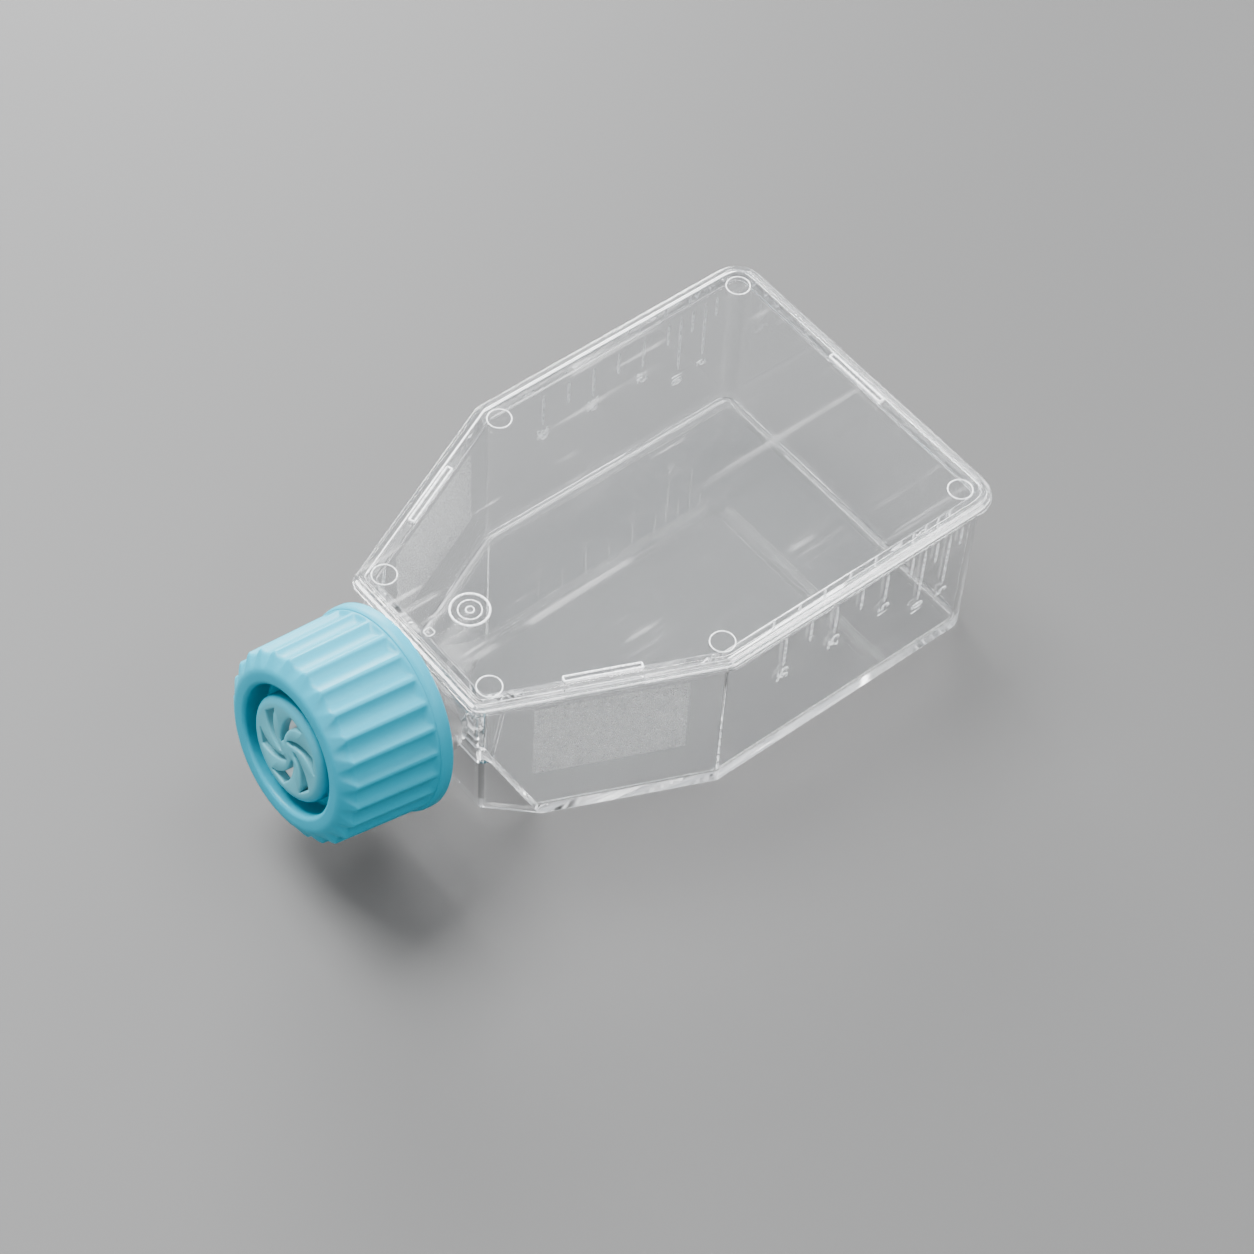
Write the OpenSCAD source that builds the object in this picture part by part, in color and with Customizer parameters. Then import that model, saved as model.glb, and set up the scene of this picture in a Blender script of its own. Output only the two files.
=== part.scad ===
// Cell culture flask, 25 cm2 size: a clear moulded tub with a canted neck, a welded
// top plate, and a vented screw cap. Millimetres. The neck points to -X, the flask
// rests on z = 0, and +Y is its left side seen from behind.

/* [Tub] */
// Length of the tub over its front and back walls
tub_len = 69.2; // [60:0.1:90]
// Width of the tub over its long walls
tub_w = 47.9; // [40:0.1:70]
// Width of the tub's front wall, where the neck leaves
front_w = 23; // [21.5:0.1:30]
// Length of the two slanting shoulders along X
shoulder_len = 27.5; // [22:0.1:36]
// Height of the tub up to the weld line
tub_h = 24.95; // [20:0.05:40]
// Wall thickness of the tub
wall = 1.2; // [0.9:0.1:1.8]
// Floor thickness
floor_t = 1.2; // [0.9:0.1:2]
// How far the tub's rim flange stands out from the walls
flange_out = 1.25; // [0.8:0.05:2]
// Thickness of the rim flange
flange_t = 0.4; // [0.3:0.05:0.8]
// Radius of the two back corners
back_r = 2.6; // [1:0.1:6]
// Radius of the shoulder and front corners
side_r = 0.9; // [0.5:0.1:2]
// Height of the front skirt's raised bottom edge
skirt_rise = 4.3; // [2:0.1:7]
// Length over which the skirt's bottom edge slopes down to the floor
skirt_run = 7.9; // [5:0.1:12]
// Distance from the front wall to the foot of the inner ramp
ramp_foot = 7.7; // [6:0.1:10]
// Distance from the front wall to the top of the inner ramp
ramp_head = 2.1; // [1.9:0.1:4]
// Height of the top of the inner ramp
ramp_h = 13.9; // [10:0.1:18]
// Thickness of the ramp, measured along X
ramp_t = 0.8; // [0.6:0.05:0.9]
// Length of the slanted bead inside each front corner
bead_len = 12; // [8:0.1:12.5]
// Lean of that bead from upright
bead_lean = 8.5; // [0:0.5:12]

/* [Top plate] */
// Thickness of the top plate
plate_t = 1.1; // [0.8:0.05:2]
// Height of the bead round the plate
bead_h = 0.35; // [0.2:0.05:0.8]
// Width of the bead round the plate
bead_w = 0.75; // [0.5:0.05:1.5]
// How far the plate's welding lip stands out from the walls
lip_out = 1.05; // [0.6:0.05:1.6]
// Length of each stacking bar
bar_len = 9.9; // [6:0.1:14]
// Width of each stacking bar
bar_w = 1.15; // [0.8:0.05:2]
// Height of the stacking bars above the plate
bar_h = 0.35; // [0.2:0.05:1.2]
// Distance from the outer wall face in to the middle of each stacking bar
bar_in = 1.05; // [0.9:0.05:2.5]

/* [Neck] */
// Upward cant of the neck and cap
cant = 11.3; // [0:0.1:25]
// Distance from the front wall to the cap's back edge, along X
cap_gap = 5.05; // [4:0.05:8]
// Height of the neck axis at the cap's back edge
cap_z = 16.7; // [14:0.1:20]
// Length of the neck in front of the cap's back edge
neck_len = 12.95; // [10:0.05:16]
// Outer radius of the neck under the thread
neck_r = 9.9; // [9:0.05:11]
// Outer radius of the throat, where the neck meets the tub
throat_r = 8; // [7:0.1:9]
// Wall thickness of the neck
neck_wall = 1.05; // [0.8:0.05:1.5]
// Rise of the screw thread in one turn
lead = 3; // [2:0.1:4]

/* [Cap] */
// Radius of the cap's smooth back flange
cap_flange_r = 13.1; // [12:0.1:15]
// Length of the cap
cap_len = 14.65; // [12:0.05:18]
// Radius over the grip ridges at their back ends
grip_back_r = 12.75; // [11.5:0.05:14]
// Radius over the grip ridges at their front ends
grip_front_r = 12.25; // [11:0.05:13.5]
// Number of grip ridges round the cap
grip_count = 25; // [18:1:36]
// Angle of the first grip ridge from the top of the cap
grip_turn = 1.9; // [0:0.1:15]
// Depth of the flutes between the ridges
flute_depth = 0.5; // [0.3:0.05:0.9]
// Radius of the flutes' hollow
flute_r = 2.3; // [1.6:0.05:2.8]
// Outer radius of the flat front ring
face_r = 10.15; // [9.5:0.05:11]
// Outer radius of the groove round the vent disc
groove_r = 8.3; // [7.5:0.05:9]
// Radius of the vent disc
disc_r = 6.8; // [5.5:0.05:7.5]
// Depth of the groove round the vent disc
groove_depth = 3.6; // [2:0.1:5]
// Number of curved vent slots
slot_count = 6; // [4:1:8]
// Widest part of a vent slot, at its outer end
slot_w = 1.35; // [0.6:0.05:1.6]
// Radius that the vent slots reach out to
slot_reach = 5.3; // [4:0.1:5.8]

/* [Hidden] */
$fn = 96;
eps = 0.02;
clear_ps = [0.86, 0.9, 0.92, 0.45];
hdpe = [0.42, 0.76, 0.84];
ptfe = [0.95, 0.95, 0.93];
half_len = tub_len / 2;
half_w = tub_w / 2;
half_front = front_w / 2;
shoulder_x = -half_len + shoulder_len;
slant = atan((half_w - half_front) / shoulder_len);
lip_t = 0.4;
plate_top = tub_h + 0.6;
bead_top = plate_top + bead_h;
axis_x = -half_len - cap_gap;
seat_z = 13;
skin_r = 10.75;
plug_r = 8.8;
disc_top = 14.4;
disc_t = 1.2;
disc_under = disc_top - disc_t;
thread_steps = 24;
knee_z = 13.25;
ramp_slope = (ramp_foot - ramp_head) / (ramp_h - floor_t);

// Six corners of the plan, moved outward by d from the wall's outer face.
function plan_points(d) =
  let (fx = -half_len - d, bx = half_len + d, sx = shoulder_x - d * tan(slant / 2),
       fy = half_front + d * (1 - sin(slant)) / cos(slant), wy = half_w + d)
  [[fx, fy], [fx, -fy], [sx, -wy], [bx, -wy], [bx, wy], [sx, wy]];

function unit(v) = v / norm(v);

// Plan outline moved outward by d, with round corners: two radii, back and sides.
module plan(d, rb, rs) {
  p = plan_points(d);
  n = len(p);
  r = [rs, rs, rs, rb, rb, rs];
  u = [for (i = [0:n - 1]) unit(p[(i + n - 1) % n] - p[i])];
  v = [for (i = [0:n - 1]) unit(p[(i + 1) % n] - p[i])];
  half = [for (i = [0:n - 1]) acos(u[i] * v[i]) / 2];
  reach = [for (i = [0:n - 1]) r[i] / tan(half[i])];
  hub = [for (i = [0:n - 1]) p[i] + unit(u[i] + v[i]) * r[i] / sin(half[i])];
  union() {
    polygon([for (i = [0:n - 1], k = [0, 1])
      k == 0 ? p[i] + u[i] * reach[i] : p[i] + v[i] * reach[i]]);
    for (i = [0:n - 1]) translate(hub[i]) circle(r[i]);
  }
}

module slab(d, z0, z1, rb, rs) {
  translate([0, 0, z0]) linear_extrude(z1 - z0) plan(d, rb, rs);
}

// Places its children with +Z along the neck, outward, and the cap's back edge at 0.
module on_neck() {
  translate([axis_x, 0, cap_z]) rotate([0, -(90 - cant), 0]) children();
}

// Side profile in X and Z, run across the tub.
module across(points) {
  translate([0, tub_w, 0]) rotate([90, 0, 0]) linear_extrude(2 * tub_w) polygon(points);
}

// Screw thread: a ridge with a trapezoid section that winds turns times round Z.
module helix(z0, turns, r_root, r_crest, root_w, crest_w) {
  n = round(turns * thread_steps);
  ring = [for (i = [0:n])
    let (a = 360 * i / thread_steps, z = z0 + lead * i / thread_steps,
         f = min(1, 0.15 + i / 4, 0.15 + (n - i) / 4),
         rc = r_root + (r_crest - r_root) * f)
    [[r_root * cos(a), r_root * sin(a), z - root_w / 2],
     [rc * cos(a), rc * sin(a), z - crest_w / 2],
     [rc * cos(a), rc * sin(a), z + crest_w / 2],
     [r_root * cos(a), r_root * sin(a), z + root_w / 2]]];
  pts = [for (q = ring) for (c = q) c];
  inner = r_crest < r_root;
  sides = [for (i = [0:n - 1], k = [0:3])
    let (a = 4 * i + k, b = 4 * i + (k + 1) % 4, c = b + 4, d = a + 4)
    each (inner ? [[a, d, c], [a, c, b]] : [[a, b, c], [a, c, d]])];
  ends = inner ? [[0, 1, 2], [0, 2, 3], [4 * n + 2, 4 * n + 1, 4 * n], [4 * n + 3, 4 * n + 2, 4 * n]]
    : [[2, 1, 0], [3, 2, 0], [4 * n, 4 * n + 1, 4 * n + 2], [4 * n, 4 * n + 2, 4 * n + 3]];
  polyhedron(pts, concat(sides, ends));
}

// Room inside the tub: the plan inset by the wall, cut by the ramp.
module chamber() {
  intersection() {
    slab(-wall, floor_t, tub_h + 1, back_r - wall, side_r);
    across([
      [-half_len + ramp_foot, floor_t - 1],
      [-half_len + ramp_foot, floor_t],
      [-half_len - 2, floor_t + (ramp_foot + 2) / ramp_slope],
      [-half_len - 2, tub_h + 2],
      [half_len + 2, tub_h + 2],
      [half_len + 2, floor_t - 1]]);
  }
}

// Open space under the ramp, behind the front skirt.
module skirt_hollow() {
  top = ramp_h - 1.4;
  intersection() {
    slab(-wall, -1, ramp_h, back_r, side_r);
    across([
      [-half_len - 1, -1],
      [-half_len + ramp_foot - ramp_t + 0.6, -1],
      [-half_len + ramp_foot - ramp_t + floor_t * ramp_slope, 0],
      [-half_len + ramp_head - ramp_t + 1.4 * ramp_slope, top],
      [-half_len - 1, top]]);
  }
}

// Slanted bead on the inner face of one shoulder, beside the neck.
module corner_bead(s) {
  x = -half_len + 2.8;
  y = half_front + (x + half_len) * tan(slant) - wall / cos(slant);
  translate([x, s * y, 18.3]) rotate([0, 0, s * slant]) rotate([90, 0, 0])
    rotate([0, 0, 90 - bead_lean]) bar(bead_len, 0.45, -0.3, 0.3);
}

module neck_outside() {
  on_neck() {
    translate([0, 0, -7.6]) cylinder(h = 12.2, r1 = throat_r, r2 = neck_r);
    translate([0, 0, 4.6 - eps]) cylinder(h = neck_len - 4.6 + eps, r = neck_r);
    helix(3.6, 2.25, neck_r - 0.35, neck_r + 0.55, 1.5, 0.6);
  }
}

module neck_bore() {
  on_neck() {
    translate([0, 0, -10]) cylinder(h = 15, r1 = throat_r - neck_wall - 0.2, r2 = neck_r - neck_wall);
    translate([0, 0, 5 - eps]) cylinder(h = neck_len, r = neck_r - neck_wall);
  }
}

// Volume marks: round-ended ridges, 0.12 proud of both long walls.
module graduations() {
  pitch = 4.07;
  for (s = [-1, 1], i = [0:5])
    graduation(s, 2 + pitch * i, i % 2 == 0 ? 16.6 : 18.1);
  for (s = [-1, 1]) {
    graduation(s, 24.4, 12.2);
    graduation(s, 26.4, 18);
    graduation(s, 28.5, 12.2);
    graduation(s, 30.4, 18.6);
  }
}

module graduation(s, x, z0) {
  translate([x, s * half_w, (z0 + 22.1) / 2]) rotate([90, 0, 0]) rotate([0, 0, 90])
    bar(22.1 - z0, 0.44, -0.12, 0.12);
}

module flask_body() {
  color(clear_ps) difference() {
    union() {
      difference() {
        union() {
          slab(0, 0, tub_h, back_r, side_r);
          slab(flange_out, 24.4, 24.4 + flange_t, back_r + 1, side_r + 1);
        }
        skirt_hollow();
        across([[-half_len - 3, -1], [-half_len - 3, skirt_rise + 3 * skirt_rise / skirt_run],
          [-half_len + skirt_run, 0], [-half_len + skirt_run, -1]]);
      }
      intersection() {
        neck_outside();
        across([[-80, -1], [-80, 60], [-half_len - 3, 60], [-half_len - 3, 24.4],
          [-half_len + 4, 24.4], [-half_len + 4, -1]]);
      }
      graduations();
    }
    difference() {
      chamber();
      for (s = [-1, 1]) corner_bead(s);
    }
    neck_bore();
  }
}

// Round-ended bar, standing on z.
module bar(len, w, z0, z1) {
  translate([-(len - w) / 2, -w / 2, z0]) cube([len - w, w, z1 - z0]);
  for (s = [-1, 1]) translate([s * (len - w) / 2, 0, z0]) cylinder(h = z1 - z0, d = w);
}

module ring_mark(r, w, h) {
  translate([0, 0, plate_top - 0.1]) difference() {
    cylinder(h = h + 0.1, r = r);
    translate([0, 0, -1]) cylinder(h = 3, r = r - w);
  }
}

module top_plate() {
  mid_x = shoulder_x - shoulder_len / 2;
  mid_y = (half_w + half_front) / 2;
  color(clear_ps) union() {
    difference() {
      union() {
        slab(-wall - 0.15, plate_top - plate_t, tub_h + 0.1, back_r - wall, side_r);
        slab(lip_out, tub_h, tub_h + lip_t, back_r + 0.8, side_r + 0.8);
        slab(bead_w - 0.25, tub_h, bead_top, back_r + 0.4, side_r + 0.4);
      }
      slab(-0.25, plate_top, bead_top + 1, back_r - 0.2, side_r);
    }
    for (s = [-1, 1])
      translate([mid_x + bar_in * sin(slant), s * (mid_y - bar_in * cos(slant)), 0]) rotate([0, 0, s * slant])
        bar(bar_len, bar_w, plate_top - 0.2, plate_top + bar_h);
    translate([half_len - bar_in, 0, 0]) rotate([0, 0, 90])
      bar(bar_len, bar_w, plate_top - 0.2, plate_top + bar_h);
    for (p = [[-32.1, 10.3], [-32.1, -10.3], [-6.3, 21.6], [-6.3, -21.6], [31.9, 21.2], [31.9, -21.2]])
      translate([p[0], p[1], 0]) ring_mark(1.65, 0.2, 0.08);
    translate([-27.15, 0, 0]) {
      ring_mark(2.5, 0.25, 0.12);
      ring_mark(1.5, 0.2, 0.1);
      ring_mark(0.55, 0.3, 0.16);
    }
    translate([-32.9, 0.3, 0]) difference() {
      translate([-0.8, -0.8, plate_top - 0.1]) cube([1.6, 1.6, 0.2]);
      translate([-0.6, -0.6, plate_top - 0.3]) cube([1.2, 1.2, 1]);
    }
  }
}

// Concave flute between two grip ridges. It bends inward to follow the front chamfer.
module flute() {
  back_floor = grip_back_r - flute_depth;
  front_floor = grip_front_r - flute_depth;
  rake = atan((back_floor - front_floor) / (knee_z - 1.7));
  bend = atan((front_floor - face_r - 0.15) / (cap_len - knee_z));
  nose_r = flute_r - 0.15;
  translate([back_floor, 0, 1.7]) rotate([0, -rake, 0]) translate([flute_r, 0, -1])
    cylinder(h = 16, r = flute_r, $fn = 48);
  translate([front_floor, 0, knee_z]) rotate([0, -bend, 0]) translate([nose_r, 0, -1])
    cylinder(h = 5, r = nose_r, $fn = 48);
}

// All the flutes. A cone guards the back flange, so each flute runs out on its slope.
module flutes() {
  difference() {
    for (i = [0:grip_count - 1]) rotate([0, 0, grip_turn + (i + 0.5) * 360 / grip_count]) flute();
    translate([0, 0, -2]) cylinder(h = 2 + 1.5, r = cap_flange_r + 4);
    translate([0, 0, 1.5 - eps]) cylinder(h = 1.5, r1 = cap_flange_r, r2 = cap_flange_r - 1.5);
  }
}

// Curved slot that starts narrow near the middle of the disc and widens outwards.
module vent_slot() {
  bend_r = 4.5;
  mean_w = slot_w - 0.45;
  hub = [-1.1, -3.8];
  translate([0, 0, disc_under - 1]) linear_extrude(3) intersection() {
    difference() {
      translate(hub) circle(bend_r + mean_w / 2);
      translate(hub + [-0.44, 0.87]) circle(bend_r - mean_w / 2);
    }
    difference() {
      circle(slot_reach);
      circle(1.35);
    }
    translate([0.6, -6]) square([6, 7]);
  }
}

module cap() {
  color(hdpe) on_neck() union() {
    difference() {
      union() {
        cylinder(h = 1.2, r = cap_flange_r);
        translate([0, 0, 1.2 - eps]) cylinder(h = 0.5 + eps, r1 = cap_flange_r, r2 = 12.9);
        translate([0, 0, 1.7 - eps])
          cylinder(h = knee_z - 1.7 + 2 * eps, r1 = grip_back_r, r2 = grip_front_r);
        translate([0, 0, knee_z])
          cylinder(h = cap_len - knee_z, r1 = grip_front_r, r2 = face_r);
      }
      flutes();
      translate([0, 0, -1]) cylinder(h = seat_z + 1, r = skin_r);
      translate([0, 0, seat_z - 1]) cylinder(h = 3, r = plug_r - 0.2);
    }
    difference() {
      translate([0, 0, cap_len - groove_depth - 0.85])
        cylinder(h = groove_depth + 0.85, r = plug_r);
      translate([0, 0, cap_len - groove_depth]) difference() {
        cylinder(h = groove_depth + 1, r = groove_r);
        translate([0, 0, -1]) cylinder(h = groove_depth + 3, r = disc_r);
      }
      translate([0, 0, disc_top]) cylinder(h = 2, r = disc_r + 0.3);
      translate([0, 0, 5]) cylinder(h = disc_under - 5, r = disc_r - 0.8);
      for (i = [0:slot_count - 1]) rotate([0, 0, 47 + i * 360 / slot_count]) vent_slot();
    }
    helix(2.1, 2, skin_r + 0.35, skin_r - 0.46, 1.5, 0.6);
  }
}

module vent_membrane() {
  color(ptfe) on_neck() translate([0, 0, disc_under - 0.25]) cylinder(h = 0.2, r = 5.7);
}

flask_body();
top_plate();
cap();
vent_membrane();
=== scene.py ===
import bpy, bmesh, math
from mathutils import Matrix, Vector


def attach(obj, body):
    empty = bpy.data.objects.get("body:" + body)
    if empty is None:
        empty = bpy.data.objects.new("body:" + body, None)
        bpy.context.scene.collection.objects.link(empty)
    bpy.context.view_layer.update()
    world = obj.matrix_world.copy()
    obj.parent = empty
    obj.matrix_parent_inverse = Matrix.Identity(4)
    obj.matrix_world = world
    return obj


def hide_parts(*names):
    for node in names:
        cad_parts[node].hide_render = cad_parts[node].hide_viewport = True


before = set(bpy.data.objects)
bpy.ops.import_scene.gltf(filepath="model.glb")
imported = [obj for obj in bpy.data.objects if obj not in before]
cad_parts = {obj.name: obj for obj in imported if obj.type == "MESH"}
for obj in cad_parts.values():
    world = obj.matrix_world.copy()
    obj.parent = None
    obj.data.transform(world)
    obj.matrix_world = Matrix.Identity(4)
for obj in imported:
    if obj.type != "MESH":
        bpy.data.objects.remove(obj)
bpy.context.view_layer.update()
MM = 0.001

# ---------------------------------------------------------------- sizes of the real flask
HALF_LEN, HALF_W, HALF_FRONT, SHOULDER = 34.6, 23.95, 11.5, 27.5
WALL, FLOOR_T = 1.2, 1.2
BACK_R, SIDE_R = 2.6, 0.9
SHOULDER_X = -HALF_LEN + SHOULDER
SLANT = math.atan((HALF_W - HALF_FRONT) / SHOULDER)
RAMP_FOOT, RAMP_HEAD, RAMP_H, RAMP_T = 7.7, 2.1, 13.9, 0.8
BEAD_LEAN = math.radians(81.5)  # of the slanted bead in each front corner
PLATE_TOP = 25.55
BAR_LEN, BAR_W, BAR_IN, BAR_TOP = 9.9, 1.15, 1.05, 25.84
CANT = math.radians(11.3)
AXIS_X, AXIS_Z = -39.65, 16.7
BORE_R, SEAT_R, MOUTH_Z = 6.75, 8.85, 12.95  # inside of the neck at its root and at its mouth
THREAD_LEAD = 3.0
SKIN_R = 10.75  # inside of the cap's skirt
PLUG_R, SEAT_Z = 8.8, 13.0
DISC_R, DISC_TOP, GROOVE_R, GROOVE_DEPTH, FACE_R = 6.8, 14.4, 8.3, 3.6, 10.15
CAP_LEN, FLANGE_R = 14.65, 13.1
GATE_X = -27.15  # middle of the gate mark on the plate

# neck frame: +Z out along the neck, +X upwards
NECK = Matrix((
    (math.sin(CANT), 0, -math.cos(CANT), AXIS_X),
    (0, 1, 0, 0),
    (math.cos(CANT), 0, math.sin(CANT), AXIS_Z),
    (0, 0, 0, 1)))


# ---------------------------------------------------------------- mesh helpers
WELD = 2e-3  # points closer than this become one


def outline(d, back_r, side_r, steps=6):
    """Plan of the tub moved outward by d, as points that run clockwise from the left front."""
    t = math.tan
    fx, bx, sx = -HALF_LEN - d, HALF_LEN + d, SHOULDER_X - d * t(SLANT / 2)
    fy = HALF_FRONT + d * (1 - math.sin(SLANT)) / math.cos(SLANT)
    wy = HALF_W + d
    corners = [(fx, fy), (fx, -fy), (sx, -wy), (bx, -wy), (bx, wy), (sx, wy)]
    radii = [side_r, side_r, side_r, back_r, back_r, side_r]
    pts = []
    for i, corner in enumerate(corners):
        p = Vector(corner)
        u = (Vector(corners[i - 1]) - p).normalized()
        v = (Vector(corners[(i + 1) % 6]) - p).normalized()
        half = math.acos(max(-1, min(1, u.dot(v)))) / 2
        r = max(radii[i], 0.02)
        hub = p + (u + v).normalized() * (r / math.sin(half))
        a = p + u * (r / math.tan(half)) - hub
        b = p + v * (r / math.tan(half)) - hub
        turn = a.angle_signed(b)
        for k in range(steps + 1):
            w = a.copy()
            w.rotate(Matrix.Rotation(-turn * k / steps, 2))
            pts.append(hub + w)
    return pts


def quarter(r, z, radius, start, end, steps=4):
    """Points of an arc about (r, z), angles in degrees from +r towards +z."""
    return [(r + radius * math.cos(math.radians(start + (end - start) * k / steps)),
             z + radius * math.sin(math.radians(start + (end - start) * k / steps)))
            for k in range(steps + 1)]


def loft(profile, back_r=BACK_R, side_r=SIDE_R, grow=True):
    """Closed solid whose section is profile, a list of (d, z), swept round the plan."""
    bm = bmesh.new()
    rings = []
    for d, z in profile:
        rb = max(back_r + (d if grow else 0), 0.3)
        rs = max(side_r + (max(d, 0) if grow else 0), 0.3)
        rings.append([bm.verts.new((p.x, p.y, z)) for p in outline(d, rb, rs)])
    n = len(rings[0])
    for lo, hi in zip(rings, rings[1:]):
        for i in range(n):
            bm.faces.new((lo[i], lo[(i + 1) % n], hi[(i + 1) % n], hi[i]))
    bm.faces.new(rings[0])
    bm.faces.new(list(reversed(rings[-1])))
    bmesh.ops.recalc_face_normals(bm, faces=bm.faces)
    return bm


def turned(profile, segments=96, matrix=None):
    """Solid of revolution from (r, z) points whose ends lie on the axis."""
    bm = bmesh.new()
    rings = []
    for r, z in profile:
        if r == 0:
            rings.append([bm.verts.new((0, 0, z))])
        else:
            rings.append([bm.verts.new((r * math.cos(2 * math.pi * k / segments),
                                        r * math.sin(2 * math.pi * k / segments), z))
                          for k in range(segments)])
    for lo, hi in zip(rings, rings[1:]):
        for k in range(segments):
            j = (k + 1) % segments
            if len(lo) == 1:
                bm.faces.new((lo[0], hi[j], hi[k]))
            elif len(hi) == 1:
                bm.faces.new((lo[k], lo[j], hi[0]))
            else:
                bm.faces.new((lo[k], lo[j], hi[j], hi[k]))
    bmesh.ops.recalc_face_normals(bm, faces=bm.faces)
    if matrix is not None:
        bm.transform(matrix)
    return bm


def prism(points, z0, z1):
    """Straight solid over a flat outline."""
    bm = bmesh.new()
    low = [bm.verts.new((x, y, z0)) for x, y in points]
    high = [bm.verts.new((x, y, z1)) for x, y in points]
    n = len(points)
    for i in range(n):
        bm.faces.new((low[i], low[(i + 1) % n], high[(i + 1) % n], high[i]))
    bm.faces.new(low)
    bm.faces.new(list(reversed(high)))
    bmesh.ops.recalc_face_normals(bm, faces=bm.faces)
    return bm


def cut_plane(bm, point, normal):
    """Keeps what lies behind the plane, and closes the cut."""
    geom = bm.verts[:] + bm.edges[:] + bm.faces[:]
    cut = bmesh.ops.bisect_plane(bm, geom=geom, plane_co=point, plane_no=normal, clear_outer=True,
                                 dist=1e-5)
    rim = [e for e in cut["geom_cut"] if isinstance(e, bmesh.types.BMEdge)]
    bmesh.ops.holes_fill(bm, edges=rim, sides=0)
    bmesh.ops.recalc_face_normals(bm, faces=bm.faces)


def to_object(bm, name):
    """New object from a bmesh in millimetres."""
    mesh = bpy.data.meshes.new(name)
    bm.to_mesh(mesh)
    bm.free()
    obj = bpy.data.objects.new(name, mesh)
    bpy.context.scene.collection.objects.link(obj)
    return obj


def evaluated_mesh(obj):
    """New mesh of what an object's modifiers make of it."""
    bpy.context.view_layer.update()
    deps = bpy.context.evaluated_depsgraph_get()
    return bpy.data.meshes.new_from_object(obj.evaluated_get(deps))


def bake_modifiers(obj):
    """Makes the result of the modifiers the object's own mesh."""
    mesh = evaluated_mesh(obj)
    old = obj.data
    obj.modifiers.clear()
    obj.data = mesh
    bpy.data.meshes.remove(old)
    return obj


def combine(base, other, operation):
    """Exact solid operation on base, which other is used up by."""
    mod = base.modifiers.new("solid", "BOOLEAN")
    mod.operation, mod.solver, mod.object = operation, "EXACT", other
    mod.material_mode = "TRANSFER"
    bake_modifiers(base)
    mesh = other.data
    bpy.data.objects.remove(other)
    bpy.data.meshes.remove(mesh)
    return base


def soften(obj, width=0.12, limit=42, segments=2):
    """Small moulded radius on every sharp edge, then flat faces that shade flat."""
    bm = bmesh.new()
    bm.from_mesh(obj.data)
    bmesh.ops.remove_doubles(bm, verts=bm.verts, dist=WELD)
    bmesh.ops.dissolve_degenerate(bm, edges=bm.edges, dist=WELD)
    bmesh.ops.dissolve_limit(bm, angle_limit=math.radians(0.4), verts=bm.verts, edges=bm.edges)
    if width:
        sharp = [e for e in bm.edges if len(e.link_faces) == 2
                 and e.calc_face_angle(0) > math.radians(limit)]
        bmesh.ops.bevel(bm, geom=sharp, offset=width, segments=segments, profile=0.6,
                        affect="EDGES", clamp_overlap=True, offset_type="OFFSET")
    bmesh.ops.recalc_face_normals(bm, faces=bm.faces)
    bm.to_mesh(obj.data)
    bm.free()


def finish_mesh(obj, sharp=38):
    """Metres, smooth shading that large flat faces keep flat."""
    obj.data.transform(Matrix.Scale(MM, 4))
    obj.data.shade_smooth()
    obj.data.set_sharp_from_angle(angle=math.radians(sharp))
    mod = obj.modifiers.new("flat faces", "WEIGHTED_NORMAL")
    mod.keep_sharp = True
    mod.weight = 80
    bake_modifiers(obj)
    return obj


def one_finish(obj, finish):
    """Gives the whole object one material."""
    obj.data.materials.clear()
    obj.data.materials.append(finish)
    obj.data.polygons.foreach_set("material_index", [0] * len(obj.data.polygons))


def add_mesh(obj, other):
    """Puts the faces of other into obj, and removes other."""
    bm = bmesh.new()
    bm.from_mesh(obj.data)
    bm.from_mesh(other.data)
    bm.to_mesh(obj.data)
    bm.free()
    mesh = other.data
    bpy.data.objects.remove(other)
    bpy.data.meshes.remove(mesh)


# ---------------------------------------------------------------- node helpers
class Sum:
    """A number in a node tree, so that arithmetic on it adds Math nodes."""

    def __init__(self, tree, value):
        self.tree, self.value = tree, value

    def op(self, kind, *others):
        node = self.tree.nodes.new("ShaderNodeMath")
        node.operation = kind
        for k, v in enumerate((self,) + others):
            v = v.value if isinstance(v, Sum) else v
            if isinstance(v, (int, float)):
                node.inputs[k].default_value = v
            else:
                self.tree.links.new(v, node.inputs[k])
        return Sum(self.tree, node.outputs[0])

    def __add__(self, other):
        return self.op("ADD", other)

    def __sub__(self, other):
        return self.op("SUBTRACT", other)

    def __mul__(self, other):
        return self.op("MULTIPLY", other)

    def __truediv__(self, other):
        return self.op("DIVIDE", other)

    def maximum(self, other):
        return self.op("MAXIMUM", other)

    def minimum(self, other):
        return self.op("MINIMUM", other)

    def root(self):
        return self.op("SQRT")

    def step_over(self, other):
        return self.op("GREATER_THAN", other)


def geometry_tree(name, inputs):
    """Geometry node group with named inputs, and a Finish input for its material."""
    tree = bpy.data.node_groups.new(name, "GeometryNodeTree")
    tree.interface.new_socket("Geometry", in_out="INPUT", socket_type="NodeSocketGeometry")
    for label, kind, value in inputs:
        s = tree.interface.new_socket(label, in_out="INPUT", socket_type=kind)
        s.default_value = value
    s = tree.interface.new_socket("Finish", in_out="INPUT", socket_type="NodeSocketMaterial")
    tree.interface.new_socket("Geometry", in_out="OUTPUT", socket_type="NodeSocketGeometry")
    return tree, tree.nodes.new("NodeGroupInput"), tree.nodes.new("NodeGroupOutput")


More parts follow.
